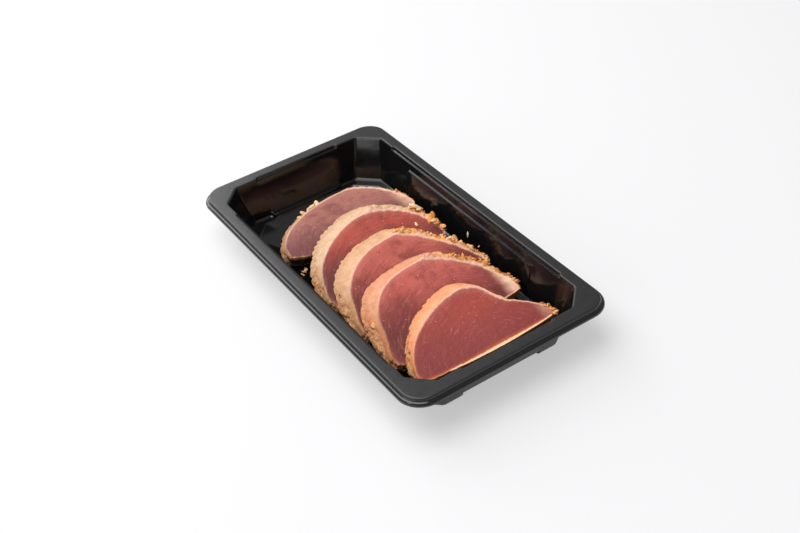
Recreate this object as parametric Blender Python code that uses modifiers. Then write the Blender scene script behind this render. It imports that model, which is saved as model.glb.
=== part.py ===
"""A shallow black plastic food tray with five bias-cut slices of seared tuna.

The tray is one thermoformed sheet. The slices lie in a shingled row along it,
each with its far edge resting on the one behind. Metres, +Z up, +X along the
tray, and the origin at the middle of the base.
"""
import math

import bmesh
import bpy
from mathutils import Vector

MM = 0.001

# Tray, in millimetres: the sheet's upper face is modelled and thickened downward
HEIGHT = 28.0
SHEET = 0.6
FLANGE_LENGTH = 230.0
FLANGE_WIDTH = 126.0
FLANGE_CORNER = 12.0
LIP_REACH = 2.2
LIP_DROP = 4.0
OPENING_LENGTH = 214.0
OPENING_WIDTH = 111.0
OPENING_CHAMFER = 12.0
EDGE_ROUND = 0.7
WALL_RUN = 5.9
FLOOR_CHAMFER = 12.6
FLOOR_ROUND = 1.2
WELL_MARGIN = 4.4
WELL_DEPTH = 0.5
RECESS_DEPTH = 1.2
RECESS_DROP = 2.0
RECESS_HALF_LENGTH = 82.0
RECESS_HALF_WIDTH = 29.0
PANEL_HALF_LENGTH = 60.6
PANEL_DROP = 6.0
PANEL_FOOT = 16.5
PANEL_TOP_INSET = 2.6
PANEL_FOOT_INSET = 4.0
SHELF_HALF_WIDTH = 25.0
SHELF_HEIGHT = 3.2
SHELF_REACH = 98.0
CORNER_STEPS = 6

# Slices, in millimetres
THICKNESS = 7.6
CLEARANCE = 0.3
ROUND_STEPS = 84
BORDER_ROUND = 0.6
HEEL_POWER = 1.6
MIDDLE_SHIFT = 2.0
MIDDLE_RISE = 0.45
SHOULDER_START = 8.0
SHOULDER_END = 20.0
TONGUE_POWER = 4.0
TONGUE_EASE = 15.0
FLARE_EASE = 30.0
FLARE_LOW = -4.0
FLARE_HIGH = 18.0
DRIFT_EASE = 25.0
DRIFT_LOW = -24.0
DRIFT_HIGH = 20.0
SHIFT_RISE = 0.55
UNDERCUT_TOP = 14.0
NEST_GAP = 0.6
WALL_LIMIT = 47.3
CRUST_REACH = 1.2
CRAG_REACH = 2.2
CRAG_LIFT = 1.1
TORN_REACH = 1.6
WAVE = 0.5


def smooth(value, low, high):
    """Zero below low, one above high, and a smooth S between."""
    share = min(max((value - low) / (high - low), 0.0), 1.0)
    return share * share * (3.0 - 2.0 * share)


def clear_scene():
    for thing in list(bpy.data.objects):
        bpy.data.objects.remove(thing, do_unlink=True)


def make_collection(name):
    group = bpy.data.collections.new(name)
    bpy.context.scene.collection.children.link(group)
    return group


def make_material(name, colour, roughness):
    material = bpy.data.materials.new(name)
    material.use_nodes = True
    shader = material.node_tree.nodes["Principled BSDF"]
    shader.inputs["Base Color"].default_value = (*colour, 1.0)
    shader.inputs["Roughness"].default_value = roughness
    shader.inputs["Metallic"].default_value = 0.0
    return material


def make_object(name, mesh_tool, material, group):
    mesh = bpy.data.meshes.new(name)
    mesh_tool.to_mesh(mesh)
    mesh_tool.free()
    mesh.materials.append(material)
    thing = bpy.data.objects.new(name, mesh)
    group.objects.link(thing)
    return thing


# The tray's courses, from the lip's foot up over the flange and down to the floor


def wall_inset(drop):
    """How far the inner wall has come in from the opening at a depth below the rim."""
    return WALL_RUN * drop / (HEIGHT - SHEET - WELL_DEPTH)


def course(drop, half_length, half_width, corner, power, **feature):
    return dict(drop=drop, half_length=half_length, half_width=half_width,
                corner=corner, power=power, **feature)


def lip_courses():
    """The flange's round edge, the small ledge under it, and the flared skirt."""
    skirt = [(LIP_REACH, LIP_DROP), (LIP_REACH - 0.2, LIP_DROP - 1.1),
             (LIP_REACH - 0.9, LIP_DROP - 1.7), (0.5, 2.0), (0.1, 1.6), (0.0, 0.8),
             (-0.25, 0.2), (-0.8, 0.0)]
    for out, drop in skirt:
        yield course(drop, FLANGE_LENGTH / 2 + out, FLANGE_WIDTH / 2 + out,
                     FLANGE_CORNER + out, 2.0)


def wall_courses():
    """The opening's edge, its recess, the wall with panel and shelf, and the floor's round."""
    half_length = OPENING_LENGTH / 2
    half_width = OPENING_WIDTH / 2
    floor_drop = HEIGHT - SHEET - WELL_DEPTH
    shelf_drop = floor_drop + WELL_DEPTH - SHELF_HEIGHT

    def at(drop, inset, **feature):
        corner = OPENING_CHAMFER
        corner += (FLOOR_CHAMFER - OPENING_CHAMFER) * drop / floor_drop
        return course(drop, half_length - inset, half_width - inset, corner, 1.0, **feature)

    yield at(0.0, -EDGE_ROUND, recess=RECESS_DEPTH)
    yield at(0.3 * EDGE_ROUND, -0.3 * EDGE_ROUND, recess=RECESS_DEPTH)
    yield at(EDGE_ROUND, 0.0, recess=RECESS_DEPTH)
    yield at(RECESS_DROP, wall_inset(RECESS_DROP), recess=RECESS_DEPTH)
    yield at(RECESS_DROP + 0.4, wall_inset(RECESS_DROP + 0.4))
    yield at(PANEL_DROP, wall_inset(PANEL_DROP))
    yield at(PANEL_DROP + 0.3, wall_inset(PANEL_DROP + 0.3), panel=PANEL_TOP_INSET)
    yield at(PANEL_FOOT, wall_inset(PANEL_FOOT), panel=PANEL_FOOT_INSET)
    yield at(shelf_drop, wall_inset(shelf_drop))
    yield at(shelf_drop + 0.3, wall_inset(shelf_drop + 0.3), shelf=SHELF_REACH)
    yield at(floor_drop - FLOOR_ROUND, wall_inset(floor_drop - FLOOR_ROUND),
             shelf=SHELF_REACH - 0.3)
    yield at(floor_drop - 0.3 * FLOOR_ROUND, wall_inset(floor_drop) + 0.1 * FLOOR_ROUND,
             shelf=SHELF_REACH - 0.6)
    yield at(floor_drop, wall_inset(floor_drop) + FLOOR_ROUND, shelf=SHELF_REACH - 1.0)
    yield at(floor_drop, wall_inset(floor_drop) + WELL_MARGIN)
    yield at(floor_drop + WELL_DEPTH, wall_inset(floor_drop) + WELL_MARGIN + WELL_DEPTH)


def course_points(ring):
    """One quarter of a course, from the middle of a long side to that of a short side."""
    half_length = ring["half_length"]
    half_width = ring["half_width"]
    corner = ring["corner"]
    recess = ring.get("recess", 0.0)
    panel = ring.get("panel", 0.0)
    points = []
    for x in (0.0, 30.0, PANEL_HALF_LENGTH - 0.3, PANEL_HALF_LENGTH + 0.3,
              RECESS_HALF_LENGTH - 0.6, RECESS_HALF_LENGTH + 0.6):
        y = half_width
        if x < RECESS_HALF_LENGTH:
            y += recess
        if x < PANEL_HALF_LENGTH and panel:
            y = min(y, OPENING_WIDTH / 2 - panel)
        points.append((x, y))
    for step in range(CORNER_STEPS + 1):
        turn = 0.5 * math.pi * (1.0 - step / CORNER_STEPS)
        x = half_length - corner + corner * math.cos(turn) ** (2.0 / ring["power"])
        y = half_width - corner + corner * math.sin(turn) ** (2.0 / ring["power"])
        points.append((x, y))
    for y in (RECESS_HALF_WIDTH + 0.6, RECESS_HALF_WIDTH - 0.6,
              SHELF_HALF_WIDTH + 0.3, SHELF_HALF_WIDTH - 0.3, 0.0):
        x = half_length
        if y < RECESS_HALF_WIDTH:
            x += recess
        if y < SHELF_HALF_WIDTH:
            x = min(x, ring.get("shelf", x))
        points.append((x, y))
    height = HEIGHT - ring["drop"]
    return [Vector((x, y, height)) * MM for x, y in points]


def build_tray(material, group):
    """A quarter of the sheet's upper face, mirrored both ways and thickened."""
    sheet = bmesh.new()
    rings = [course_points(ring) for ring in (*lip_courses(), *wall_courses())]
    rows = [[sheet.verts.new(point) for point in ring] for ring in rings]
    for outer, inner in zip(rows, rows[1:]):
        for step in range(len(outer) - 1):
            sheet.faces.new((outer[step], outer[step + 1], inner[step + 1], inner[step]))
    middle = sheet.verts.new((0.0, 0.0, rings[-1][0].z))
    floor = rows[-1]
    for step in range(len(floor) - 1):
        sheet.faces.new((floor[step], floor[step + 1], middle))
    bmesh.ops.recalc_face_normals(sheet, faces=sheet.faces)
    if sheet.faces[-1].normal.z < 0.0:
        bmesh.ops.reverse_faces(sheet, faces=sheet.faces)
    tray = make_object("tray", sheet, material, group)
    tray.data.shade_smooth()
    tray.data.set_sharp_from_angle(angle=math.radians(35))
    mirror = tray.modifiers.new("both_sides", "MIRROR")
    mirror.use_axis = (True, True, False)
    mirror.merge_threshold = 0.00001
    wall = tray.modifiers.new("sheet", "SOLIDIFY")
    wall.thickness = SHEET * MM
    wall.offset = -1.0
    wall.use_even_offset = True
    return tray


# The slices: a bias-cut dome outline, wider and further back on its lower face


class Slice:
    """The named sizes of one slice, and the place and lean that it lies at."""

    def __init__(self, name, near, lean, left, right, crest, height, ends,
                 left_power, right_power, drift, shift, crusted, seed,
                 shoulder=0.0, tongue=0.0, flare=0.0, undercut=0.0):
        self.name = name
        self.near = near
        self.lean = math.radians(lean)
        self.left = left
        self.right = right
        self.crest = crest
        self.height = height
        self.ends = ends
        self.left_power = left_power
        self.right_power = right_power
        self.drift = drift
        self.shift = shift
        self.crusted = crusted
        self.seed = seed
        self.shoulder = shoulder
        self.tongue = tongue
        self.flare = flare
        self.undercut = undercut
        self.over = None


SLICES = [
    Slice("tuna_slice_1", near=-32.0, lean=0.0, left=41.5, right=47.5, crest=18.0,
          height=53.5, ends=16.0, left_power=2.0, right_power=1.7,
          drift=2.0, shift=9.0, crusted=0.35, seed=1.0, undercut=6.0),
    Slice("tuna_slice_2", near=3.0, lean=13.0, left=41.0, right=42.5, crest=5.0,
          height=49.5, ends=12.0, left_power=1.65, right_power=1.95,
          drift=5.0, shift=11.5, crusted=0.9, seed=2.3, tongue=9.0, flare=5.0),
    Slice("tuna_slice_3", near=33.0, lean=16.0, left=40.0, right=46.5, crest=9.5,
          height=49.5, ends=3.0, left_power=2.25, right_power=1.4,
          drift=7.0, shift=10.5, crusted=1.0, seed=3.1, tongue=9.0, flare=3.5),
    Slice("tuna_slice_4", near=61.0, lean=17.0, left=38.0, right=46.0, crest=7.0,
          height=48.0, ends=3.0, left_power=2.6, right_power=1.55,
          drift=7.0, shift=8.0, crusted=1.0, seed=4.7, tongue=10.0, flare=5.0),
    Slice("tuna_slice_5", near=89.0, lean=17.0, left=41.5, right=49.0, crest=11.0,
          height=43.0, ends=3.0, left_power=1.8, right_power=1.4,
          drift=2.5, shift=9.0, crusted=0.3, seed=5.9, shoulder=0.32),
]
for under, over in zip(SLICES, SLICES[1:]):
    under.over = over


def crags(turn, seed):
    """A rough edge's rise and fall round the outline, from nought to one."""
    coarse = abs(math.sin(4.5 * turn + seed) * math.sin(7.0 * turn + 2.0 * seed))
    fine = abs(math.sin(19.0 * turn + 3.0 * seed))
    return 0.6 * coarse + 0.4 * fine


def crust(turn):
    """Where the seasoned crust stands proud: from past the crest down to the right tip."""
    degrees = math.degrees(turn)
    return smooth(degrees, 2.0, 14.0) * (1.0 - smooth(degrees, 74.0, 92.0))


def torn(turn):
    """Where the flesh's left end is ragged, low on the left."""
    degrees = math.degrees(turn) % 360.0
    return smooth(degrees, 158.0, 185.0) * (1.0 - smooth(degrees, 215.0, 240.0))


def outline_point(piece, turn):
    """Four quarter superellipses that meet at the crest line and at the two ends.

    On the left, a tongue runs on under the next slice, and the flank flares out to it.
    """
    across = math.cos(turn)
    along = math.sin(turn)
    reach = piece.right - piece.crest if across > 0.0 else piece.left + piece.crest
    rise = piece.height - piece.ends if along > 0.0 else piece.ends
    power = piece.right_power if across > 0.0 else piece.left_power
    if along < 0.0:
        power = TONGUE_POWER if across < 0.0 and piece.tongue else HEEL_POWER
    y = piece.crest + reach * math.copysign(abs(across) ** (2.0 / power), across)
    v = piece.ends + rise * math.copysign(abs(along) ** (2.0 / power), along)
    if along > 0.0:
        past = smooth(y, piece.crest + SHOULDER_START, piece.crest + SHOULDER_END)
        v -= piece.shoulder * past * (v - piece.ends)
    else:
        v -= piece.tongue * math.sqrt(-along) * smooth(-y, -TONGUE_EASE, TONGUE_EASE)
    if across < 0.0:
        low = 1.0 - smooth(v, FLARE_LOW, FLARE_HIGH)
        y -= piece.flare * low * smooth(-y, 0.0, FLARE_EASE)
    return y, v


def place(piece, y, v, rise):
    """From the slice's own plane, leaning back along the tray, to the tray's frame.

    It comes no lower than the floor, and no higher than the next slice's lower face.
    """
    x = piece.near - v * math.cos(piece.lean) + rise * math.sin(piece.lean)
    z = max(v * math.sin(piece.lean) + rise * math.cos(piece.lean), 0.0)
    if piece.over and v < 0.0:
        z = min(z, (piece.over.near - x) * math.tan(piece.over.lean) - NEST_GAP)
    wave = WAVE * (math.sin(x / 19.0 + 0.6) * math.sin(y / 21.0 + 0.4)) ** 2
    floor = SHEET + WELL_DEPTH + CLEARANCE
    return Vector((x, y, floor + z + wave)) * MM


def slice_ring(piece, scale, depth, spread, rough):
    """A ring of the slice: its outline scaled, sunk by depth and spread by the bias cut."""
    middle = Vector((piece.crest - MIDDLE_SHIFT, MIDDLE_RISE * piece.height))
    ring = []
    for step in range(ROUND_STEPS):
        turn = 2.0 * math.pi * step / ROUND_STEPS
        y, v = outline_point(piece, turn)
        left = smooth(-y, -DRIFT_EASE, DRIFT_EASE) * smooth(v, DRIFT_LOW, DRIFT_HIGH)
        y = max(y - spread * piece.drift * left, -WALL_LIMIT)
        back = piece.shift * smooth(v, 0.0, SHIFT_RISE * piece.height) * v / piece.height
        v += spread * (back + piece.undercut * (1.0 - smooth(v, 0.0, UNDERCUT_TOP)))
        arm = Vector((y, v)) - middle
        crusted = piece.crusted * crust(turn)
        proud = crusted * (CRUST_REACH + CRAG_REACH * crags(turn, piece.seed))
        proud += torn(turn) * TORN_REACH * (crags(turn, piece.seed + 1.0) - 0.5)
        spot = middle + arm * scale + arm.normalized() * rough * proud
        lift = rough * crusted * CRAG_LIFT * crags(turn, piece.seed + 2.0) * (1.0 - spread)
        low = -piece.tongue if spot.x < TONGUE_EASE else 0.0
        ring.append(place(piece, spot.x, max(spot.y, low), THICKNESS - depth + lift))
    return ring


def build_slice(piece, material, group):
    """Rings from the middle of the upper face over the side to that of the lower face."""
    body = bmesh.new()
    side = THICKNESS - BORDER_ROUND
    rings = [
        slice_ring(piece, 0.55, 0.0, 0.0, 0.0),
        slice_ring(piece, 0.9, 0.0, 0.0, 0.3),
        slice_ring(piece, 0.985, 0.1, 0.0, 0.8),
        slice_ring(piece, 1.0, BORDER_ROUND, 0.05, 1.0),
        slice_ring(piece, 1.0, 0.5 * THICKNESS, 0.5, 0.9),
        slice_ring(piece, 1.0, side, 0.95, 0.3),
        slice_ring(piece, 0.98, THICKNESS, 1.0, 0.0),
    ]
    rows = [[body.verts.new(point) for point in ring] for ring in rings]
    for upper, lower in zip(rows, rows[1:]):
        for step in range(ROUND_STEPS):
            after = (step + 1) % ROUND_STEPS
            body.faces.new((upper[step], lower[step], lower[after], upper[after]))
    for row in (rows[0], rows[-1]):
        middle = sum((vert.co for vert in row), Vector()) / ROUND_STEPS
        hub = body.verts.new(middle)
        for step in range(ROUND_STEPS):
            body.faces.new((row[step], row[(step + 1) % ROUND_STEPS], hub))
    bmesh.ops.triangulate(body, faces=body.faces)
    bmesh.ops.recalc_face_normals(body, faces=body.faces)
    thing = make_object(piece.name, body, material, group)
    thing.data.shade_smooth()
    thing.data.set_sharp_from_angle(angle=math.radians(50))
    return thing


clear_scene()
parts = make_collection("tray_of_tuna_sashimi")
black_plastic = make_material("black_plastic", (0.012, 0.012, 0.014), 0.28)
tuna_flesh = make_material("tuna_flesh", (0.36, 0.085, 0.07), 0.32)
build_tray(black_plastic, parts)
for tuna in SLICES:
    build_slice(tuna, tuna_flesh, parts)
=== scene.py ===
import bpy
import numpy as np
from mathutils import Matrix, Vector


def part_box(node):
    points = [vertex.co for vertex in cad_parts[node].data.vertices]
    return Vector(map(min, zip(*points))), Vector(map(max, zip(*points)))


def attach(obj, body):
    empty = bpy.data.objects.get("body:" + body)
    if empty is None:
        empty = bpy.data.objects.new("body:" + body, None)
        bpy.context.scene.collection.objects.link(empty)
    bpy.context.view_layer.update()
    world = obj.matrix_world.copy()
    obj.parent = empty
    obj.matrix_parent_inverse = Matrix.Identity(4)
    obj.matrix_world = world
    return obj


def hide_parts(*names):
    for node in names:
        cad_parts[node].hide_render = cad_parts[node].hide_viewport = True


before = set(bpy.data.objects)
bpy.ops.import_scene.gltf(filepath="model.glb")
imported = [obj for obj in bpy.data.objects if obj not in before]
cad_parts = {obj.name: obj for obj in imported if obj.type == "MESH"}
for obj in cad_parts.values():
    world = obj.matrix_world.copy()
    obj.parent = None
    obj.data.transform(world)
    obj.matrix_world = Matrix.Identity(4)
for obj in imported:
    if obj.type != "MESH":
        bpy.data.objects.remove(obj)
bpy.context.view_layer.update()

# The tray
# One sheet of black plastic, drawn hot into a mould and trimmed round its rim. The
# rim is flat and satin with a flared lip. The glossy walls start from a shallow seat,
# carry a long panel on each side and a shelf at each end, and end in a floor well.

MM = 0.001
tray_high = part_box("tray")[1]
SHEET = 0.6
LIP_REACH = 2.2
LIP_DROP = 4.0
RIM = tray_high.z / MM
RIM_HALF_LENGTH = tray_high.x / MM - LIP_REACH
RIM_HALF_WIDTH = tray_high.y / MM - LIP_REACH
RIM_CORNER = 12.0
FLANGE_AT_ENDS = 8.0
FLANGE_AT_SIDES = 7.5
OPENING_HALF_LENGTH = RIM_HALF_LENGTH - FLANGE_AT_ENDS
OPENING_HALF_WIDTH = RIM_HALF_WIDTH - FLANGE_AT_SIDES
OPENING_CHAMFER = 12.0
OPENING_EDGE = 0.7
WALL_RUN = 5.9
WELL_DEPTH = 0.5
WELL_MARGIN = 4.4
WELL_SQUEEZE = 0.962
BORDER_DROP = RIM - SHEET - WELL_DEPTH
FLOOR_CHAMFER = 12.6
FLOOR_ROUND = 1.2
RECESS_DEPTH = 1.2
RECESS_DROP = 2.0
RECESS_HALF_LENGTH = 82.0
RECESS_HALF_WIDTH = 29.0
PANEL_HALF_LENGTH = 60.6
PANEL_DROP = 6.0
PANEL_FOOT = 16.5
PANEL_TOP_INSET = 2.6
PANEL_FOOT_INSET = 4.0
SHELF_HALF_WIDTH = 25.0
SHELF_DROP = 24.2
SHELF_REACH = 98.0
LEDGE_FALL = 0.08
STEP_WIDTH = 1.0
CORNER_EASE = 1.5
COURSE_EASE = 0.14
CORNER_POINTS = 7
COURSE_POINTS = 5
LATTICE_CELLS = 32
GLOSS_BLACK = (0.0035, 0.0035, 0.004)
SATIN_BLACK = (0.0065, 0.0065, 0.0072)


def eased_step(value, low, specks_and_glints):
    """Nought below low, one above high, and the smooth S 3t^2 - 2t^3 between."""
    share = np.clip((value - low) / (specks_and_glints - low), 0.0, 1.0)
    return share * share * (3.0 - 2.0 * share)


def lattice_noise(points, size, seed):
    """Smooth noise from -1 to 1: random values on a lattice with cells of the given
    size, blended by the S curve along all three axes."""
    table = np.random.default_rng(seed).uniform(-1.0, 1.0, (LATTICE_CELLS,) * 3)
    place = points / size + 100.0
    cell = np.floor(place).astype(int)
    share = place - cell
    share = share * share * (3.0 - 2.0 * share)
    total = 0.0
    for corner in np.ndindex(2, 2, 2):
        weight = np.prod(np.where(corner, share, 1.0 - share), axis=-1)
        near = (cell + corner) % LATTICE_CELLS
        total = total + weight * table[near[..., 0], near[..., 1], near[..., 2]]
    return total


def skin(name, grids, hubs, material):
    """One mesh over grids[piece, ring, step] in millimetres, each closed round its
    rings, with a fan to a hub point inside the first ring, the last ring or both."""
    count, rings, steps = grids.shape[:3]
    index = np.arange(count * rings * steps).reshape(count, rings, steps)
    after = np.roll(index, -1, axis=2)
    quads = np.stack([index[:, :-1], index[:, 1:], after[:, 1:], after[:, :-1]], axis=-1)
    points, fans = [grids.reshape(-1, 3)], []
    for order, ring in enumerate(hubs):
        row, turned = index[:, ring], after[:, ring]
        hub = index.size + order * count + np.arange(count)[:, None] + 0 * row
        pair = (row, turned) if ring == 0 else (turned, row)
        fans.append(np.stack([hub, *pair], axis=-1).reshape(-1, 3))
        points.append(grids[:, ring].mean(axis=1))
    mesh = bpy.data.meshes.new(name)
    mesh.from_pydata(np.concatenate(points) * MM, [],
                     quads.reshape(-1, 4).tolist() + np.concatenate(fans).tolist())
    mesh.shade_smooth()
    mesh.materials.append(material)
    piece = bpy.data.objects.new(name, mesh)
    bpy.context.scene.collection.objects.link(piece)
    return piece


def course(drop, half_length, half_width, corner, arc, recess=0.0, panel=None, shelf=None,
           squeeze=1.0):
    """One course of the tray as a row: its height, half sizes, corner size and shape,
    and where its ends and sides stand in the recess, the shelf and the panel."""
    end = half_length + recess
    side = half_width + recess
    return (RIM - drop, half_length, half_width, corner, arc, end, side,
            end if shelf is None else shelf,
            side if panel is None else OPENING_HALF_WIDTH - panel, squeeze)


def wall_course(drop, ease=0.0, **feature):
    """A course of the drafted wall, which comes in evenly from the opening to the floor."""
    inset = WALL_RUN * drop / BORDER_DROP + ease
    corner = OPENING_CHAMFER + (FLOOR_CHAMFER - OPENING_CHAMFER) * drop / BORDER_DROP
    return course(drop, OPENING_HALF_LENGTH - inset, OPENING_HALF_WIDTH - inset, corner, 0.0,
                  **feature)


def tray_courses():
    """The courses from the lip's foot, over the rim and down to the well. The lip's
    are pairs of reach past the rim and drop below it."""
    lip = ((LIP_REACH, LIP_DROP), (LIP_REACH - 0.2, LIP_DROP - 1.1),
           (LIP_REACH - 0.9, LIP_DROP - 1.7), (0.5, 2.0), (0.1, 1.6), (0.0, 0.8),
           (-0.25, 0.2), (-0.8, 0.0))
    rows = [course(drop, RIM_HALF_LENGTH + out, RIM_HALF_WIDTH + out, RIM_CORNER + out, 1.0)
            for out, drop in lip]
    seat = dict(recess=RECESS_DEPTH)
    rows += [
        wall_course(0.0, -OPENING_EDGE, **seat),
        wall_course(0.3 * OPENING_EDGE, -0.3 * OPENING_EDGE, **seat),
        wall_course(OPENING_EDGE, **seat),
        wall_course(RECESS_DROP, **seat),
        wall_course(RECESS_DROP + LEDGE_FALL),
        wall_course(PANEL_DROP),
        wall_course(PANEL_DROP + LEDGE_FALL, panel=PANEL_TOP_INSET),
        wall_course(PANEL_FOOT, panel=PANEL_FOOT_INSET),
        wall_course(SHELF_DROP),
        wall_course(SHELF_DROP + 0.3, shelf=SHELF_REACH),
        wall_course(BORDER_DROP - FLOOR_ROUND, shelf=SHELF_REACH - 0.3),
        wall_course(BORDER_DROP - 0.3 * FLOOR_ROUND, 0.1 * FLOOR_ROUND, shelf=SHELF_REACH - 0.6),
        wall_course(BORDER_DROP, FLOOR_ROUND, shelf=SHELF_REACH - 1.0),
        wall_course(BORDER_DROP, WELL_MARGIN, squeeze=WELL_SQUEEZE),
        wall_course(BORDER_DROP + WELL_DEPTH, WELL_MARGIN + WELL_DEPTH, squeeze=WELL_SQUEEZE),
    ]
    return np.array(rows)


def rounded_courses(rows):
    """Each bend between courses becomes a quadratic curve that starts and ends
    COURSE_EASE away, or just under half the way to the next course. The way is
    measured over a course's height, half length, shelf and panel."""
    measured = [0, 1, 7, 8]
    t = np.linspace(0.0, 1.0, COURSE_POINTS)[:, None]
    smooth = [rows[:1]]
    for before, bend, after in zip(rows, rows[1:], rows[2:]):
        ends = []
        for other in (before, after):
            run = np.linalg.norm((other - bend)[measured])
            ends.append(bend + (other - bend) * min(COURSE_EASE / run, 0.45))
        smooth.append((1 - t) ** 2 * ends[0] + 2 * t * (1 - t) * bend + t * t * ends[1])
    return np.concatenate([*smooth, rows[-1:]])


def stations(*spots):
    """Places along a side: the given ones, with each in brackets spread over a step."""
    fine = np.linspace(-0.5, 0.5, 7) * STEP_WIDTH
    return np.concatenate([spot[0] + fine if isinstance(spot, tuple) else [spot]
                           for spot in spots])


def tray_surface():
    """A quarter of every course as whole arrays, then carried round all four quarters.
    A side's offset follows S steps at the panel's and recess's ends. A corner blends a
    chamfer, its two bends rounded by quadratic curves, with a circle's arc."""
    rows = rounded_courses(tray_courses())
    z, length, width, corner, arc, end, side, shelf, panel, squeeze = rows.T[:, :, None]

    def inside(where, limit):
        """One up to the limit and nought beyond, with an S step between."""
        return eased_step(-where, -limit - STEP_WIDTH / 2, -limit + STEP_WIDTH / 2)

    x = stations(0.0, 15.0, 30.0, 45.0, 55.0, (PANEL_HALF_LENGTH,), 66.0, 75.0,
                 (RECESS_HALF_LENGTH,), 84.5)
    along = x * squeeze
    y = width + (side - width) * inside(along, RECESS_HALF_LENGTH)
    y = y + (panel - y) * inside(along, PANEL_HALF_LENGTH)
    long_side = np.stack([along + 0 * y, y, z + 0 * y], axis=-1)

    t = np.linspace(0.0, 1.0, CORNER_POINTS)
    slant = CORNER_EASE / np.sqrt(2.0)
    start, stop = (1 - t) ** 2, t * t
    first_x = length - corner - start * CORNER_EASE + stop * slant
    first_y = width - stop * slant
    second_x = length - start * slant
    second_y = width - corner + start * slant - stop * CORNER_EASE
    turn = np.radians(np.linspace(90.0, 0.0, 2 * CORNER_POINTS))
    corner_x = np.concatenate([first_x, second_x], axis=1) * (1 - arc)
    corner_x = corner_x + (length - corner + corner * np.cos(turn)) * arc
    corner_y = np.concatenate([first_y, second_y], axis=1) * (1 - arc)
    corner_y = corner_y + (width - corner + corner * np.sin(turn)) * arc
    corner_part = np.stack([corner_x, corner_y, z + 0 * corner_x], axis=-1)

    across = stations(0.0, 12.0, 20.0, (SHELF_HALF_WIDTH,), 27.0, (RECESS_HALF_WIDTH,), 30.2)[::-1]
    x = length + (end - length) * inside(across, RECESS_HALF_WIDTH)
    x = x + (shelf - x) * inside(across, SHELF_HALF_WIDTH)
    short_side = np.stack([x, across + 0 * x, z + 0 * x], axis=-1)

    quarter = np.concatenate([long_side, corner_part, short_side], axis=1)
    back = quarter[:, ::-1]
    return np.concatenate([quarter[:, :-1], back[:, :-1] * (1, -1, 1),
                           quarter[:, :-1] * (-1, -1, 1), back[:, :-1] * (-1, 1, 1)], axis=1)


class Finish:
    """A material's nodes, made one at a time and wired from left to right. A socket is
    given by its name, such as base_color, or by its place, such as i2."""

    def __init__(self, name, **sockets):
        self.material = bpy.data.materials.new(name)
        self.material.use_nodes = True
        self.tree = self.material.node_tree
        self.shader = self.tree.nodes["Principled BSDF"]
        self.set(self.shader, sockets)

    def set(self, node, sockets):
        """Gives a node's sockets their values, or wires other nodes' outputs to them."""
        for name, value in sockets.items():
            title = name.replace("_", " ").title().replace("Ior", "IOR")
            socket = node.inputs[int(name[1:]) if name[1:].isdigit() else title]
            if isinstance(value, bpy.types.NodeSocket):
                self.tree.links.new(value, socket)
            elif isinstance(value, tuple) and len(value) == 3 and socket.type == "RGBA":
                socket.default_value = (*value, 1.0)
            else:
                socket.default_value = value

    def node(self, kind, output=0, settings=(), **sockets):
        """A new node with its settings and sockets, given back by one of its outputs."""
        made = self.tree.nodes.new(kind)
        for key, value in settings:
            setattr(made, key, value)
        self.set(made, sockets)
        return made.outputs[output]

    def attribute(self, name):
        """The number that the mesh stores at each point under this name."""
        return self.node("ShaderNodeAttribute", "Fac", [("attribute_name", name)])

    def place(self):
        """The place on the object, in metres."""
        return self.node("ShaderNodeTexCoord", "Object")

    def noise(self, vector, scale, detail=3.0, roughness=0.5, distortion=0.0):
        """Cloudy noise about one half, with its scale in clouds to the metre."""
        return self.node("ShaderNodeTexNoise", "Fac", vector=vector, scale=scale, detail=detail,
                         roughness=roughness, distortion=distortion)

    def spread(self, value, low, specks_and_glints, to_low=0.0, to_high=1.0):
        """A smooth S from to_low, where the value is low, to to_high, where it is high."""
        return self.node("ShaderNodeMapRange", "Result", [("interpolation_type", "SMOOTHSTEP")],
                         i0=value, i1=low, i2=specks_and_glints, i3=to_low, i4=to_high)

    def math(self, operation, first, second=0.0):
        """One operation on two numbers, or on the first alone."""
        return self.node("ShaderNodeMath", 0, [("operation", operation)], i0=first, i1=second)

    def plus(self, first, second):
        return self.math("ADD", first, second)

    def times(self, first, second):
        return self.math("MULTIPLY", first, second)

    def apart(self, value, middle):
        """How far the value is from the middle, on either side of it."""
        return self.math("ABSOLUTE", self.math("SUBTRACT", value, middle))

    def mix(self, share, first, second):
        """A colour between two, nearer to the second as the share grows."""
        return self.node("ShaderNodeMix", 2, [("data_type", "RGBA")], i0=share, i6=first,
                         i7=second)

    def bump(self, height, depth, strength=1.0, normal=None):
        """Relief from a height, so many metres deep, laid over an earlier relief if any."""
        made = self.tree.nodes.new("ShaderNodeBump")
        self.set(made, dict(height=height, distance=depth, strength=strength))
        if normal is not None:
            self.set(made, dict(normal=normal))
        return made.outputs[0]


def black_sheet():
    """Black plastic: glossy where it touched the mould's polished walls, satin on the
    rim, with the faint waves of a drawn sheet and a fine dust of scuffs."""
    finish = Finish("black_sheet", IOR=1.48)
    place = finish.place()
    height = finish.node("ShaderNodeSeparateXYZ", "Z", vector=place)
    rim = finish.spread(height, (RIM - 0.9) * MM, (RIM - 0.2) * MM)
    scuffs = finish.noise(place, 260.0, 4.0, 0.7)
    gloss = finish.spread(scuffs, 0.35, 0.75, 0.09, 0.16)
    satin = finish.spread(scuffs, 0.3, 0.8, 0.34, 0.44)
    rough = finish.node("ShaderNodeMix", 0, i0=rim, i2=gloss, i3=satin)
    black = finish.mix(rim, GLOSS_BLACK, SATIN_BLACK)
    finish.set(finish.shader, dict(roughness=rough, base_color=black))
    waves = finish.bump(finish.noise(place, 75.0, 1.0), 0.0006, 0.25)
    grain = finish.bump(finish.noise(place, 2600.0, 2.0), 0.00003, 0.5, waves)
    finish.set(finish.shader, dict(normal=grain))
    return finish.material


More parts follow.
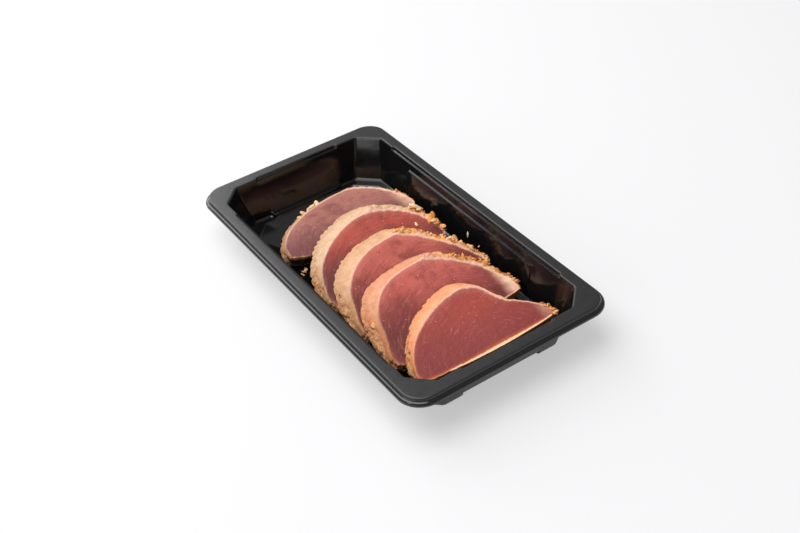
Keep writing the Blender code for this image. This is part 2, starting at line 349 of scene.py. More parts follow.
tray_sheet = skin("tray_sheet", tray_surface()[None], (-1,), black_sheet())
thickness = tray_sheet.modifiers.new("sheet", "SOLIDIFY")
thickness.thickness = SHEET * MM
thickness.offset = -1.0
thickness.use_even_offset = True
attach(tray_sheet, "root")
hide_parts("tray")

# The slices
# Rare tuna loin, seared on the outside, chilled and cut on the bias across the grain.
# Each slice is a dome with a red face, a pale cooked rim that shows as a band down its
# left side, and a browned, crumbling crust. They lie in a row, each on the one behind.

THICKNESS = 7.6
BORDER_ROUND = 0.6
FLOOR_GAP = 1.4
ROUND_STEPS = 600
FACE_SINK = 0.1
BORDER_SCALE = 0.985
SINK_STATIONS = (FACE_SINK, BORDER_ROUND, THICKNESS / 2, THICKNESS - BORDER_ROUND, THICKNESS)
SPREAD_BY_SINK = (0.0, 0.05, 0.5, 0.95, 1.0)
ROUGH_BY_SINK = (0.8, 1.0, 0.9, 0.3, 0.0)
SCALE_STATIONS = (0.55, 0.9, BORDER_SCALE)
ROUGH_BY_SCALE = (0.0, 0.3, 0.8)
HEEL_POWER = 1.6
MIDDLE_SHIFT = 2.0
MIDDLE_RISE = 0.45
SHOULDER_START = 8.0
SHOULDER_END = 20.0
TONGUE_POWER = 4.0
TONGUE_EASE = 15.0
FLARE_EASE = 30.0
FLARE_LOW = -4.0
FLARE_HIGH = 18.0
DRIFT_EASE = 25.0
DRIFT_LOW = -24.0
DRIFT_HIGH = 20.0
SHIFT_RISE = 0.55
UNDERCUT_TOP = 14.0
NEST_GAP = 0.6
WALL_LIMIT = 47.3
CRUST_REACH = 1.2
CRAG_REACH = 2.2
CRAG_LIFT = 1.1
CRUMBLE = 0.5
TORN_REACH = 1.6
LUMP_SIZE = 2.6
GRIT_SIZE = 1.1
FIBRE_SIZE = 0.8
CRUMBLE_SIZE = 1.5
FACE_WAVE_SIZE = 13.0
SEAR_CUT = 1.5
SEAR_LEFT = (4.0, 30.0)
SEAR_LOW = (10.0, 42.0)
SEAR_SINK = (0.8, 5.0)
FLAKE_CUT = 0.45
FLAKE_SIZE = 2.8
FRAY_CUT = 1.1
FRAY_SIZE = 1.7
FRAY_SWEEP = 4.5
FRAY_LEFT = (-10.0, 10.0)
FRAY_SINK = (3.5, 6.6)
FRAY_SCALE = (0.9, 0.97)
TIP_START = 11.0
TIP_END = 1.5
BROWN_FADE = 14.0
SHADE_LEFT = (-8.0, 28.0)
SHADE_LOW = (8.0, 42.0)
HEEL_RISE = (1.0, 9.0)
STREAK_LENGTH = 8.0
STREAK_ARM = 40.0
STREAK_CENTRE = 8.0
WAVE = 0.5
COOKED_CREAM = (0.62, 0.3, 0.24)
COOKED_RIM = (0.66, 0.4, 0.29)
PALE_SPECK_AND_GLINT = (0.72, 0.45, 0.36)
PALE_TIP = (0.66, 0.4, 0.27)
HEEL_ORANGE = (0.44, 0.085, 0.025)
HEEL_EDGE = (0.86, 0.56, 0.34)
TAN_SHARE = (0.82, 0.66, 0.5)
BURNT_BROWN = (0.36, 0.15, 0.05)
BURNT_GOLD = (0.56, 0.3, 0.14)
SCORCHED_ORANGE = (0.5, 0.16, 0.03)
CRACK_BROWN = (0.22, 0.08, 0.028)
FLECK_BROWN = (0.36, 0.17, 0.06)
FOOT_BROWN = (0.2, 0.075, 0.028)
SHADOW_BLACK = (0.02, 0.01, 0.006)
CRUST_BROWN = (0.19, 0.055, 0.012)
CRUST_GOLD = (0.64, 0.26, 0.055)
CRUST_PALE = (0.7, 0.38, 0.15)
CRUST_CRACK = (0.14, 0.042, 0.012)


class Slice:
    """One slice. It reaches left and right of the tray's middle and up the face by its
    height, from the place of its near end, at a lean in degrees. Crest and ends say where
    its top and its two ends are, and the powers round its sides. Drift and shift carry
    its lower face left and back. Crusted is how thick its crust is, and browned the angle
    that it is brown up to. Flesh, deep_and_shade and band are colours; deep_and_shade is
    the deeper red in the flesh and also the painted shade low on the face. Shoulder lowers
    its right side, tongue and flare run on under the next slice, undercut draws in its near
    foot, pale_tip whitens its right tip, and painted_shadow_below paints a near-black
    shadow over its band low down."""

    def __init__(self, name, near, lean, left, right, crest, height, ends,
                 left_power, right_power, drift, shift, crusted, browned, seed, flesh, deep_and_shade, band,
                 shoulder=0.0, tongue=0.0, flare=0.0, undercut=0.0, pale_tip=0.0, painted_shadow_below=0.0):
        self.name = name
        self.near = near
        self.lean = np.radians(lean)
        self.left = left
        self.right = right
        self.crest = crest
        self.height = height
        self.ends = ends
        self.left_power = left_power
        self.right_power = right_power
        self.drift = drift
        self.shift = shift
        self.crusted = crusted
        self.browned = browned
        self.seed = seed
        self.flesh = flesh
        self.deep_and_shade = deep_and_shade
        self.band = band
        self.shoulder = shoulder
        self.tongue = tongue
        self.flare = flare
        self.undercut = undercut
        self.pale_tip = pale_tip
        self.painted_shadow_below = painted_shadow_below
        self.over = None


SLICES = [
    Slice("tuna_slice_1", near=-32.0, lean=0.0, left=41.5, right=47.5, crest=18.0,
          height=53.5, ends=16.0, left_power=2.0, right_power=1.7,
          drift=2.0, shift=9.0, crusted=0.35, browned=26.0, seed=1.0, undercut=6.0,
          pale_tip=0.8, painted_shadow_below=1.0,
          flesh=(0.3, 0.11, 0.086), deep_and_shade=(0.11, 0.022, 0.022), band=(0.5, 0.3, 0.18)),
    Slice("tuna_slice_2", near=3.0, lean=13.0, left=41.0, right=42.5, crest=5.0,
          height=49.5, ends=12.0, left_power=1.65, right_power=1.95,
          drift=5.0, shift=11.5, crusted=0.9, browned=38.0, seed=2.3, tongue=9.0, flare=5.0,
          flesh=(0.31, 0.05, 0.033), deep_and_shade=(0.095, 0.017, 0.017), band=(0.5, 0.335, 0.21)),
    Slice("tuna_slice_3", near=33.0, lean=16.0, left=40.0, right=46.5, crest=9.5,
          height=49.5, ends=3.0, left_power=2.25, right_power=1.4,
          drift=7.0, shift=10.5, crusted=1.0, browned=86.0, seed=3.1, tongue=9.0, flare=3.5,
          flesh=(0.37, 0.08, 0.06), deep_and_shade=(0.11, 0.015, 0.01), band=(0.5, 0.3, 0.175)),
    Slice("tuna_slice_4", near=61.0, lean=17.0, left=38.0, right=46.0, crest=7.0,
          height=48.0, ends=3.0, left_power=2.6, right_power=1.55,
          drift=7.0, shift=8.0, crusted=1.0, browned=60.0, seed=4.7, tongue=10.0, flare=5.0,
          pale_tip=1.4,
          flesh=(0.39, 0.082, 0.064), deep_and_shade=(0.12, 0.02, 0.018), band=(0.52, 0.235, 0.13)),
    Slice("tuna_slice_5", near=89.0, lean=17.0, left=41.5, right=49.0, crest=11.0,
          height=43.0, ends=3.0, left_power=1.8, right_power=1.4,
          drift=2.5, shift=9.0, crusted=0.3, browned=24.0, seed=5.9, shoulder=0.32, pale_tip=0.7,
          flesh=(0.28, 0.045, 0.032), deep_and_shade=(0.21, 0.038, 0.036), band=(0.62, 0.26, 0.125)),
]
for under, over in zip(SLICES, SLICES[1:]):
    under.over = over


def crags(turn, seed):
    """A rough edge's rise and fall round the outline, from nought to one."""
    coarse = np.abs(np.sin(4.5 * turn + seed) * np.sin(7.0 * turn + 2.0 * seed))
    return 0.6 * coarse + 0.4 * np.abs(np.sin(19.0 * turn + 3.0 * seed))


def crust(turn):
    """Where the browned crust stands proud: from past the crest down to the right tip."""
    degrees = np.degrees(turn)
    return eased_step(degrees, 2.0, 14.0) * (1.0 - eased_step(degrees, 74.0, 92.0))


def torn(turn):
    """Where the flesh's left end is ragged, low on the left."""
    degrees = np.degrees(turn) % 360.0
    return eased_step(degrees, 158.0, 185.0) * (1.0 - eased_step(degrees, 215.0, 240.0))


def outline(piece, turn):
    """Four quarter superellipses that meet at the crest line and at the two ends. On
    the left, a tongue runs on under the next slice, and the flank flares out to it."""
    across, along = np.cos(turn), np.sin(turn)
    right, upper = across > 0, along > 0
    reach = np.where(right, piece.right - piece.crest, piece.left + piece.crest)
    rise = np.where(upper, piece.height - piece.ends, piece.ends)
    heel = HEEL_POWER if piece.tongue == 0 else np.where(right, HEEL_POWER, TONGUE_POWER)
    power = np.where(upper, np.where(right, piece.right_power, piece.left_power), heel)
    y = piece.crest + reach * np.sign(across) * np.abs(across) ** (2.0 / power)
    v = piece.ends + rise * np.sign(along) * np.abs(along) ** (2.0 / power)
    dip = eased_step(y, piece.crest + SHOULDER_START, piece.crest + SHOULDER_END)
    dip = piece.shoulder * dip * (v - piece.ends)
    fall = piece.tongue * np.sqrt(np.abs(along)) * eased_step(-y, -TONGUE_EASE, TONGUE_EASE)
    v = v - np.where(upper, dip, fall)
    flare = piece.flare * (1.0 - eased_step(v, FLARE_LOW, FLARE_HIGH))
    return y - np.where(right, 0.0, flare * eased_step(-y, 0.0, FLARE_EASE)), v


def slice_stations():
    """Rows of scale and depth: over the face, round its border, down the side, round
    the foot and in under the slice."""
    face = 1.0 - (1.0 - np.linspace(0.04, 1.0, 36)) ** 1.6
    bend = np.linspace(0.0, 90.0, 6)[1:]
    round_in = np.sin(np.radians(bend))
    round_down = 1.0 - np.cos(np.radians(bend))
    side = np.linspace(BORDER_ROUND, THICKNESS - BORDER_ROUND, 22)[1:]
    foot = np.array([0.9, 0.5, 0.1])
    scale = [BORDER_SCALE * face, BORDER_SCALE + (1.0 - BORDER_SCALE) * round_in,
             np.ones(len(side)), 1.0 - 0.02 * round_down, foot]
    depth = [FACE_SINK * face ** 8, FACE_SINK + (BORDER_ROUND - FACE_SINK) * round_down, side,
             THICKNESS - BORDER_ROUND + BORDER_ROUND * round_in, np.full(len(foot), THICKNESS)]
    return np.concatenate(scale)[:, None], np.concatenate(depth)[:, None]


def slice_surface(piece):
    """The outline drawn in by scale and sunk by depth. Below, it spreads left and back
    by the bias cut. Crust and torn flesh push it out along the arm from its middle, and
    smooth noise roughens the side and, a little, the face. The same noise cuts scorched
    hollows low on the left, thin flakes down the side and a frayed lower border. Gives
    the points, the masks that the colours follow, and the grain."""
    turn = np.linspace(0.0, 2.0 * np.pi, ROUND_STEPS, endpoint=False)[None, :]
    scale, depth = slice_stations()
    spread = np.interp(depth, SINK_STATIONS, SPREAD_BY_SINK)
    on_face = depth < FACE_SINK + 0.0001
    rough = np.where(on_face, np.interp(scale, SCALE_STATIONS, ROUGH_BY_SCALE),
                     np.interp(depth, SINK_STATIONS, ROUGH_BY_SINK))

    # The bias cut carries the lower face left and back
    y, v = outline(piece, turn)
    left = eased_step(-y, -DRIFT_EASE, DRIFT_EASE) * eased_step(v, DRIFT_LOW, DRIFT_HIGH)
    y = np.maximum(y - spread * piece.drift * left, -WALL_LIMIT)
    back = piece.shift * eased_step(v, 0.0, SHIFT_RISE * piece.height) * v / piece.height
    v = v + spread * (back + piece.undercut * (1.0 - eased_step(v, 0.0, UNDERCUT_TOP)))

    # The crust and the torn left end stand proud of the outline
    arm_y = y - (piece.crest - MIDDLE_SHIFT)
    arm_v = v - MIDDLE_RISE * piece.height
    arm = np.hypot(arm_y, arm_v)
    crusted = piece.crusted * crust(turn)
    proud = crusted * (CRUST_REACH + CRAG_REACH * crags(turn, piece.seed))
    proud = proud + torn(turn) * TORN_REACH * (crags(turn, piece.seed + 1.0) - 0.5)
    reach = arm * scale + rough * proud
    from_edge = np.where(on_face, (scale - 1.0) * arm, depth)

    # Lumps and fibres, then scorched hollows, thin flakes and the frayed lower border
    flat = np.stack([reach * arm_y / arm, reach * arm_v / arm, depth + 0 * arm], axis=-1)
    lumps = lattice_noise(flat, LUMP_SIZE, 11) + 0.5 * lattice_noise(flat, GRIT_SIZE, 12)
    fibres = lattice_noise(flat * (0.35, 0.35, 1.0), FIBRE_SIZE, 13)
    foot = eased_step(depth, THICKNESS - BORDER_ROUND, THICKNESS)
    side = eased_step(from_edge, -0.8, 0.8) * (1.0 - foot)
    sear = eased_step(-y, *SEAR_LEFT) * (1.0 - eased_step(v, *SEAR_LOW))
    sear = sear * eased_step(depth, *SEAR_SINK)
    ragged = np.maximum(crusted, torn(turn))
    reach = reach + side * (0.12 + 0.45 * ragged) * lumps + side * 0.12 * fibres
    reach = reach - SEAR_CUT * sear * np.clip(0.3 + lumps, 0.0, 1.4) * side
    flakes = eased_step(lattice_noise(flat * (1.0, 1.0, 1.5), FLAKE_SIZE, 16), -0.12, 0.12)
    reach = reach - FLAKE_CUT * flakes * side * eased_step(depth, 1.0, 3.0) * (0.35 + 0.65 * sear)
    fray = lattice_noise(flat, FRAY_SIZE, 17) + 0.6 * lattice_noise(flat, FRAY_SWEEP, 18)
    fray = np.clip(0.25 + fray, 0.0, 1.2) * eased_step(-y, *FRAY_LEFT)
    fray = fray * eased_step(depth, *FRAY_SINK)
    reach = reach - FRAY_CUT * fray * eased_step(scale, *FRAY_SCALE)

    # The crust crumbles and lifts the face's border, and the face has low waves
    crumbly = crusted * eased_step(from_edge, -2.4, -1.2) * (1.0 - spread)
    crumble = crumbly * lattice_noise(flat, CRUMBLE_SIZE, 15)
    reach = reach + CRUMBLE * crumble
    lift = rough * crusted * CRAG_LIFT * crags(turn, piece.seed + 2.0) * (1.0 - spread)
    lift = lift + CRUMBLE * (crumbly + crumble)
    wide = lattice_noise(flat, FACE_WAVE_SIZE, 14)
    face = np.where(on_face, 0.08 * wide - 0.03 + 0.05 * lumps * eased_step(scale, 0.0, 0.8), 0.0)

    # Laid at its lean in the tray, with its tongue kept under the next slice
    y = piece.crest - MIDDLE_SHIFT + reach * arm_y / arm
    v = MIDDLE_RISE * piece.height + reach * arm_v / arm
    v = np.maximum(v, np.where(y < TONGUE_EASE, -piece.tongue, 0.0))
    rise = THICKNESS - depth + lift + face
    x = piece.near - v * np.cos(piece.lean) + rise * np.sin(piece.lean)
    z = np.maximum(v * np.sin(piece.lean) + rise * np.cos(piece.lean), 0.0)
    if piece.over:
        roof = (piece.over.near - x) * np.tan(piece.over.lean) - NEST_GAP
        z = np.where(v < 0.0, np.minimum(z, roof), z)
    wave = WAVE * (np.sin(x / 19.0 + 0.6) * np.sin(y / 21.0 + 0.4)) ** 2

    # What the colours and the streaks follow, and where shade is painted low on the left
    tip = piece.pale_tip * eased_step(y, piece.right - TIP_START, piece.right - TIP_END)
    angle = np.degrees(turn) % 360.0
    browned = 1.0 - eased_step(angle, piece.browned, piece.browned + BROWN_FADE)
    masks = dict(from_edge=from_edge, crusted=crusted + 0 * arm, sear=sear, tip=tip,
                 browned=browned * crust(turn) + 0 * arm,
                 height=np.clip(v / piece.height, 0.0, 1.0),
                 shade_low_left=eased_step(-y, *SHADE_LEFT) * (1.0 - eased_step(v, *SHADE_LOW)),
                 heel=1.0 - eased_step(v, *HEEL_RISE))
    bow = np.arctan2(v + STREAK_CENTRE, y - piece.crest)
    bow_arm = np.hypot(v + STREAK_CENTRE, y - piece.crest)
    grain = np.stack([bow * STREAK_ARM / STREAK_LENGTH, bow_arm, 9.0 * piece.seed + 0 * arm],
                     axis=-1)
    return np.stack([x, y, FLOOR_GAP + z + wave], axis=-1), masks, grain


def tuna_finish(piece):
    """Rare flesh with fine arcs and specks, some of the specks painted glints. It is painted
    darker low down and low on the left as shade, and paler inside the border up top where
    the light falls. Down the side it is cream to tan with brown flecks, orange scorched
    spots and dark cracks, painted near black low down as shadow on a slice that lies in
    it, and the crust is a mix of gold and brown."""
    finish = Finish(piece.name + "_flesh", IOR=1.38, specular_ior_level=0.38,
                    subsurface_weight=0.1, subsurface_radius=(0.004, 0.0012, 0.0008),
                    subsurface_scale=0.35)
    mix, spread, noise, bump = finish.mix, finish.spread, finish.noise, finish.bump
    plus, times = finish.plus, finish.times
    place = finish.node("ShaderNodeMapping", 0, vector=finish.place(),
                        location=(0.1 * piece.seed, 0.0, 0.0))
    arcs = finish.node("ShaderNodeAttribute", "Vector", [("attribute_name", "grain")])
    height, tip = finish.attribute("height"), finish.attribute("tip")
    shade_low_left, heel = finish.attribute("shade_low_left"), finish.attribute("heel")
    crusted, browned = finish.attribute("crusted"), finish.attribute("browned")
    from_edge, sear = finish.attribute("from_edge"), finish.attribute("sear")
    cloudy = noise(place, 75.0, 4.0, 0.62)
    fine = noise(place, 900.0, 3.0, 0.6)
    flecks = noise(place, 520.0, 4.0, 0.75)
    patches = noise(place, 190.0, 3.0, 0.6)
    streaks = noise(arcs, 0.9, 4.0, 0.68, 0.5)
    specks = finish.node("ShaderNodeTexVoronoi", "Distance", vector=place, scale=430.0)
    lines = finish.apart(noise(place, 210.0, 3.0, 0.6, 0.8), 0.5)
    blots = noise(place, 120.0, 2.0, 0.5)

    # The face, from the flesh to its cooked rim, painted with shade low down and light up top
    # Darker low down, lighter up at the crest: painted shade and painted sheen
    colour = mix(spread(height, 0.08, 0.8), piece.deep_and_shade, piece.flesh)
    colour = mix(spread(cloudy, 0.4, 0.7, 0.0, 0.6), colour, piece.deep_and_shade)
    # Darkest low on the left: painted shade cast by the tray wall and the slice in front
    colour = mix(shade_low_left, colour, piece.deep_and_shade)
    paler = tuple(0.65 * tone + 0.35 * pale for tone, pale in zip(piece.flesh, COOKED_CREAM))
    colour = mix(spread(streaks, 0.52, 0.75, 0.0, 0.48), colour, paler)
    colour = mix(spread(streaks, 0.46, 0.3, 0.0, 0.4), colour, piece.deep_and_shade)
    edge = plus(from_edge, spread(fine, 0.2, 0.8, -0.35, 0.35))
    border = plus(edge, times(crusted, 1.5))
    # Paler cooked flesh inside the border, real, but kept high up and off the low left: painted
    # light
    lit_paler_border = times(spread(border, -6.0, -0.8, 0.0, 0.4), spread(height, 0.3, 0.85))
    lit_paler_border = times(lit_paler_border, spread(shade_low_left, 0.0, 0.3, 1.0, 0.0))
    colour = mix(lit_paler_border, colour, paler)
    # Pale specks, partly flecks and partly painted glints, thicker up high where light falls
    specks_and_glints = times(spread(specks, 0.15, 0.08), spread(patches, 0.5, 0.62))
    colour = mix(times(specks_and_glints, spread(height, 0.0, 0.9, 0.2, 0.9)), colour, PALE_SPECK_AND_GLINT)
    colour = mix(times(tip, spread(patches, 0.3, 0.6, 0.6, 1.0)), colour, PALE_TIP)
    orange = times(spread(edge, -5.2, -1.8, 0.0, 0.15 if piece.tongue else 0.9), heel)
    colour = mix(orange, colour, HEEL_ORANGE)
    # The cooked rim, dimmed low on the left as painted shade
    rim = times(spread(border, -1.7, -0.6), spread(shade_low_left, 0.0, 0.5, 0.85, 0.12))
    colour = mix(rim, colour, COOKED_RIM)
    bright = times(spread(edge, -2.4, -1.2, 0.0, 0.2 if piece.tongue else 1.0), heel)
    # The pale heel edge, dimmed deep in the low left as painted shade
    bright = times(bright, spread(shade_low_left, 0.9, 1.0, 1.0, 0.2))
    colour = mix(bright, colour, HEEL_EDGE)

    # The band down the side, from cream to scorched
    tan = tuple(tone * share for tone, share in zip(piece.band, TAN_SHARE))
    band = mix(spread(height, 0.15, 0.7), tan, piece.band)
    band = mix(spread(patches, 0.4, 0.66, 0.0, 0.6), band, tan)
    band = mix(spread(from_edge, 2.5, 6.0, 0.0, 0.45), band, tan)
    golden = mix(spread(flecks, 0.34, 0.56), BURNT_BROWN, BURNT_GOLD)
    burnt = times(sear, spread(plus(patches, sear), 0.75, 1.35))
    band = mix(spread(burnt, 0.0, 0.8, 0.0, 0.9), band, golden)
    scorched = times(spread(blots, 0.56, 0.61, 0.0, 0.85), spread(from_edge, 2.4, 4.2))
    scorched = times(scorched, spread(height, 0.85, 0.6))
    scorched = times(scorched, spread(patches, 0.38, 0.5))
    band = mix(scorched, band, SCORCHED_ORANGE)
    cracks = spread(lines, 0.035, 0.005, 0.0, 1.0)
    deeper = spread(plus(sear, spread(from_edge, 2.0, 6.0, 0.0, 0.35)), 0.1, 0.9, 0.1, 0.75)
    band = mix(times(cracks, deeper), band, CRACK_BROWN)
    band = mix(spread(flecks, 0.63, 0.68, 0.0, 0.6), band, FLECK_BROWN)
    foot = times(spread(from_edge, 5.6, 7.2, 0.0, 0.7), spread(height, 0.6, 0.3))
    band = mix(times(foot, spread(patches, 0.3, 0.5)), band, FOOT_BROWN)
    # Painted shadow: the band goes near black low down on a slice that lies in shade
    under = times(spread(from_edge, 1.9, 2.9, 0.0, piece.painted_shadow_below), spread(height, 0.5, 0.25))
    band = mix(under, band, SHADOW_BLACK)
    colour = mix(spread(border, -0.3, 0.5), colour, band)

    # The browned crust, and the fine relief
    crusty = plus(border, spread(patches, 0.3, 0.7, -0.8, 0.8))
    crusty = times(browned, spread(crusty, -0.4, 0.3))
    toasted = mix(spread(flecks, 0.36, 0.56), CRUST_BROWN, CRUST_GOLD)
    toasted = mix(spread(patches, 0.5, 0.62, 0.0, 0.8), toasted, CRUST_PALE)
    toasted = mix(times(cracks, 0.6), toasted, CRUST_CRACK)
    colour = mix(crusty, colour, toasted)
    moist = spread(from_edge, -2.0, 1.0, 0.38, 0.6)
    finish.set(finish.shader, dict(base_color=colour, roughness=moist))
    soft = bump(noise(place, 420.0, 3.0, 0.6), 0.0004, 0.5)
    split = bump(times(spread(lines, 0.0, 0.05), plus(sear, crusty)), 0.0003, 0.25, soft)
    finish.set(finish.shader, dict(normal=bump(fine, 0.0002, 0.6, split)))
    return finish.material


slice_points, slice_masks, slice_facing = [], [], []
for tuna in SLICES:
    points, masks, grain = slice_surface(tuna)
    piece = skin(tuna.name + "_meat", points[None], (0, -1), tuna_finish(tuna))
    for label, values in masks.items():
        store = piece.data.attributes.new(label, "FLOAT", "POINT")
        store.data.foreach_set("value", np.append(values.ravel(), [values[0, 0], values[-1, 0]]))
    store = piece.data.attributes.new("grain", "FLOAT_VECTOR", "POINT")
    hubs = grain[[0, -1]].mean(axis=1)
    store.data.foreach_set("vector", np.concatenate([grain.reshape(-1, 3), hubs]).ravel())
    facing = np.empty((len(piece.data.vertices), 3))
    piece.data.vertex_normals.foreach_get("vector", facing.ravel())
    slice_facing.append(facing)
    slice_points.append(points)
    slice_masks.append(masks)
    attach(piece, "root")
    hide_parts(tuna.name)

# The crumbs
# Bits of browned crust and pale cooked flesh that broke off in slicing. They cling to
# the crusted edges and the scorched left ends, and a few stick to the faces and the tray.

CRUMBS_PER_SLICE = 110
LEAST_SHARE = 0.2
BROWNED_ALL_ROUND = 90.0
CRUMB_SIZES = (0.15, 1.7)
CRUMB_LOWEST = 4.5
CRUMB_RINGS = 6
CRUMB_STEPS = 9
CRUMB_STRETCH = (1.55, 1.0, 0.42)
CRUMB_FLATNESS = 1.1
CRUMB_TINTS = (-0.15, 0.95)
CRUMB_BORDER = (-0.6, 2.6)
CLUSTER_SIZE = 7.0
CLUSTER_BASE = 0.45
TIP_WEIGHT = 0.1
SEARED_WEIGHT = 0.05
SEARED_BAND = (3.0, 7.0)
CRUMB_BROWN = (0.24, 0.07, 0.014)
CRUMB_GOLD = (0.62, 0.24, 0.045)
CRUMB_TAN = (0.66, 0.37, 0.17)
CRUMB_CREAM = (0.76, 0.56, 0.38)
FLAKE_STRETCH = (1.9, 0.9, 0.3)
FLAKE_FLATNESS = 4.0
FACING_UP = (0.25, 0.0, 1.0)
FACING_IN = (0.0, -1.0, 0.2)
WALL_SIDE = 50.0


def crumbs(name, spots, facing, sizes, stretch, flatness, tints, seed, material):
    """Lumps at the spots as one mesh. Each is a sphere over two angles, whose radius is
    size (1 + 0.8 n + 0.07 m) for a smooth noise n and a random m at each point, then it
    is stretched and turned at random, its thin axis nearer to facing with flatness. Its
    middle is at the spot, so on a surface it is half sunk in."""
    draw = np.random.default_rng(seed)
    fall = np.pi * (np.arange(CRUMB_RINGS)[:, None] + 0.7) / (CRUMB_RINGS + 0.4)
    turn = 2.0 * np.pi * np.arange(CRUMB_STEPS) / CRUMB_STEPS
    ball = np.stack([np.sin(fall) * np.cos(turn), np.sin(fall) * np.sin(turn),
                     np.cos(fall) + 0 * turn], axis=-1)
    apart = 3.0 * np.arange(len(spots))[:, None, None, None]
    uneven = 1.0 + 0.8 * lattice_noise(ball + apart, 0.75, seed)[..., None]
    uneven = uneven + 0.07 * draw.standard_normal((len(spots), CRUMB_RINGS, CRUMB_STEPS, 1))
    axes = draw.standard_normal((len(spots), 3, 3))
    axes[:, :, 0] += flatness * facing
    frames = np.swapaxes(np.linalg.qr(axes)[0], 1, 2)[:, ::-1]
    frames = frames * np.sign(np.linalg.det(frames))[:, None, None]
    turned = np.einsum("nrsk,nkj->nrsj", ball * uneven * stretch, frames)
    grids = spots[:, None, None] + turned * sizes[:, None, None, None]
    piece = skin(name, grids, (0, -1), material)
    store = piece.data.attributes.new("tint", "FLOAT", "POINT")
    store.data.foreach_set("value", np.concatenate(
        [np.repeat(tints, CRUMB_RINGS * CRUMB_STEPS), tints, tints]))
    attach(piece, "root")


def toasted_finish():
    """Dry, matt crumbs from dark brown over gold to pale tan and cream."""
    finish = Finish("toasted_crumbs", roughness=0.55, IOR=1.4)
    grain = finish.noise(finish.place(), 650.0, 3.0, 0.65)
    tint = finish.plus(finish.attribute("tint"), finish.spread(grain, 0.3, 0.7, -0.3, 0.25))
    colour = finish.mix(finish.spread(tint, -0.1, 0.35), CRUMB_BROWN, CRUMB_GOLD)
    colour = finish.mix(finish.spread(tint, 0.4, 0.8), colour, CRUMB_TAN)
    colour = finish.mix(finish.spread(tint, 0.8, 1.1), colour, CRUMB_CREAM)
    finish.set(finish.shader, dict(base_color=colour, normal=finish.bump(grain, 0.0004, 0.7)))
    return finish.material


toasted = toasted_finish()
draw = np.random.default_rng(41)

# Each slice's crumbs are drawn from its surface points, in clusters, by how browned,
# pale or seared the points are
crumb_spots, crumb_facing = [], []
for tuna, points, masks, facing in zip(SLICES, slice_points, slice_masks, slice_facing):
    from_edge = masks["from_edge"]
    border = (from_edge > CRUMB_BORDER[0]) & (from_edge < CRUMB_BORDER[1])
    weight = border * (masks["browned"] * tuna.crusted + TIP_WEIGHT * masks["tip"])
    cluster = lattice_noise(points, CLUSTER_SIZE, 44) + CLUSTER_BASE
    weight = weight * np.clip(cluster, 0.0, 1.0)
    low = masks["sear"] * (from_edge > SEARED_BAND[0]) * (from_edge < SEARED_BAND[1])
    weight = weight + SEARED_WEIGHT * low * (1.0 - tuna.painted_shadow_below)
    weight = weight * (points[..., 2] > CRUMB_LOWEST)
    share = tuna.crusted * tuna.browned / BROWNED_ALL_ROUND
    count = int(CRUMBS_PER_SLICE * (LEAST_SHARE + (1.0 - LEAST_SHARE) * share))
    chosen = draw.choice(weight.size, count, p=weight.ravel() / weight.sum())
    crumb_spots.append(points.reshape(-1, 3)[chosen])
    crumb_facing.append(facing[chosen])
crumb_spots, crumb_facing = np.concatenate(crumb_spots), np.concatenate(crumb_facing)
crumb_sizes = np.clip(draw.lognormal(-0.75, 0.6, len(crumb_spots)), *CRUMB_SIZES)
crumbs("crust_crumbs", crumb_spots, crumb_facing, crumb_sizes, CRUMB_STRETCH, CRUMB_FLATNESS,
       draw.uniform(*CRUMB_TINTS, len(crumb_spots)), 42, toasted)

# The loose flakes, each by its place, size and tint: on the second slice and its crust, at
# the first slice's tip and left edge, on the floor by the left wall, on the right wall, at
# the fifth slice's tip, and on the third slice's crust
flakes = np.array([
    (-19.4, 30.6, 14.6, 1.1, 1.0), (-19.4, 41.0, 15.2, 1.9, 0.35), (-17.0, 41.6, 14.6, 1.5, 0.75),
    (-14.2, 41.6, 13.9, 1.7, 0.2), (-11.2, 42.1, 12.7, 1.4, 0.6), (-8.6, 42.3, 11.6, 1.1, 0.3),
    (-43.0, 43.5, 9.0, 2.0, 1.0), (-40.2, 44.7, 9.0, 2.0, 1.0), (-37.6, 45.3, 8.9, 1.3, 0.95),
    (-84.9, -1.2, 8.5, 1.3, 0.9), (-83.9, -5.3, 8.5, 1.5, 0.95), (-82.7, -8.6, 8.5, 1.5, 0.9),
    (-81.1, -13.0, 8.5, 1.3, 0.85), (-79.3, -17.0, 8.5, 1.1, 0.8), (-41.1, -36.3, 0.95, 1.3, 0.9),
    (-40.2, -38.0, 0.9, 0.9, 0.7), (-37.4, -39.7, 0.85, 0.8, 0.6), (3.6, 51.05, 10.5, 0.9, 1.0),
    (14.8, 50.85, 8.8, 0.6, 0.5), (86.3, 47.5, 10.3, 1.1, 0.3), (88.0, 48.5, 9.4, 0.9, 0.45),
    (16.6, 42.9, 14.0, 1.6, 0.8), (19.9, 42.3, 14.5, 1.4, 0.5), (14.0, 42.1, 13.6, 1.3, 0.65),
    (18.2, 42.8, 14.5, 1.1, 1.0)])
flake_facing = np.where(flakes[:, 1:2] > WALL_SIDE, FACING_IN, FACING_UP)
crumbs("loose_flakes", flakes[:, :3], flake_facing, flakes[:, 3], FLAKE_STRETCH,
       FLAKE_FLATNESS, flakes[:, 4], 43, toasted)

# The floor, the light and the camera
# A white sweep that glows a little, three broad soft windows overhead, behind on the left
# and low on the left, and the place that the tray was seen from.

FLOOR_SIZE = 6.0
FLOOR_COLOUR = (0.28, 0.28, 0.285)
FLOOR_GLOW = 0.46
STUDIO_GLOW = 0.42
CAMERA_LENS = 54.586
CAMERA_ELEVATION = np.radians(38.8285)
CAMERA_AZIMUTH = np.radians(59.3584)
CAMERA_ROLL = np.radians(-5.42896)
CAMERA_DISTANCE = 0.67428
CAMERA_TARGET = Vector((0.021245, -0.007979, 0.028))

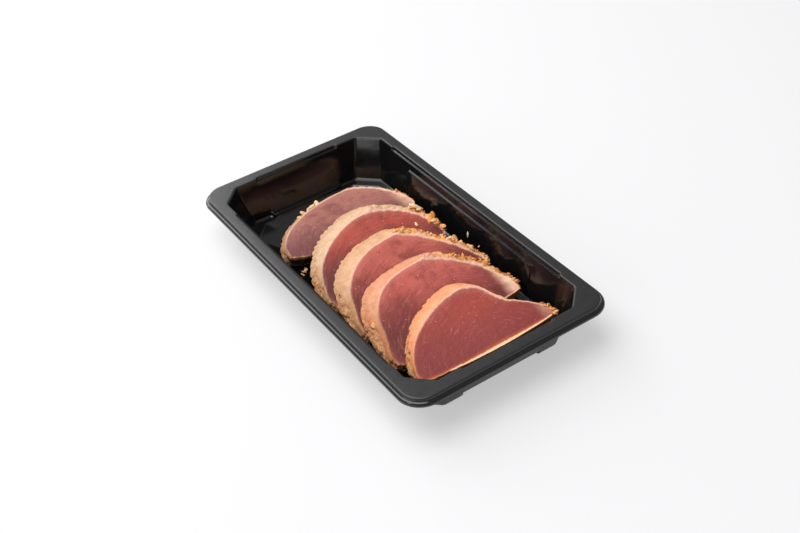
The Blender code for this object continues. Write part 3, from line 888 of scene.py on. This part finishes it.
sweep = Finish("white_sweep", base_color=FLOOR_COLOUR, roughness=0.9,
               emission_color=(1.0, 0.99, 1.0), emission_strength=FLOOR_GLOW)
mesh = bpy.data.meshes.new("floor")
half = FLOOR_SIZE / 2
corners = [(-half, -half, 0), (half, -half, 0), (half, half, 0), (-half, half, 0)]
mesh.from_pydata(corners, [], [(0, 1, 2, 3)])
mesh.materials.append(sweep.material)
floor = bpy.data.objects.new("floor", mesh)
bpy.context.scene.collection.objects.link(floor)


def window(name, place, size, power):
    """A rectangular soft light at a place, looking down its own -Z at the tray's middle."""
    data = bpy.data.lights.new(name, "AREA")
    data.shape = "RECTANGLE"
    data.size, data.size_y = size
    data.energy = power
    light = bpy.data.objects.new(name, data)
    place = Vector(place)
    turned = place.to_track_quat("Z", "Y").to_matrix().to_4x4()
    light.matrix_world = Matrix.Translation(place) @ turned
    bpy.context.scene.collection.objects.link(light)


window("top_window", (-0.2, -0.45, 1.5), (1.5, 1.5), 31.0)
window("back_left_window", (-1.35, -0.2, 0.85), (1.3, 1.1), 18.0)
window("left_window", (0.2, -1.6, 0.55), (1.8, 0.9), 14.0)
world = bpy.data.worlds.new("studio")
world.use_nodes = True
world.node_tree.nodes["Background"].inputs["Color"].default_value = (1.0, 1.0, 1.0, 1.0)
world.node_tree.nodes["Background"].inputs["Strength"].default_value = STUDIO_GLOW
bpy.context.scene.world = world
bpy.context.scene.view_settings.view_transform = "Standard"

back = Vector((np.sin(CAMERA_AZIMUTH) * np.cos(CAMERA_ELEVATION),
               -np.cos(CAMERA_AZIMUTH) * np.cos(CAMERA_ELEVATION), np.sin(CAMERA_ELEVATION)))
level = Vector((np.cos(CAMERA_AZIMUTH), np.sin(CAMERA_AZIMUTH), 0.0))
upright = back.cross(level)
right = level * np.cos(CAMERA_ROLL) + upright * np.sin(CAMERA_ROLL)
up = upright * np.cos(CAMERA_ROLL) - level * np.sin(CAMERA_ROLL)
camera_data = bpy.data.cameras.new("camera")
camera_data.lens = CAMERA_LENS
camera_data.sensor_width = 36.0
camera_data.sensor_fit = "HORIZONTAL"
camera_data.clip_start = 0.01
camera = bpy.data.objects.new("camera", camera_data)
camera.matrix_world = Matrix((right, up, back)).transposed().to_4x4()
camera.location = CAMERA_TARGET + back * CAMERA_DISTANCE
bpy.context.scene.collection.objects.link(camera)
bpy.context.scene.camera = camera
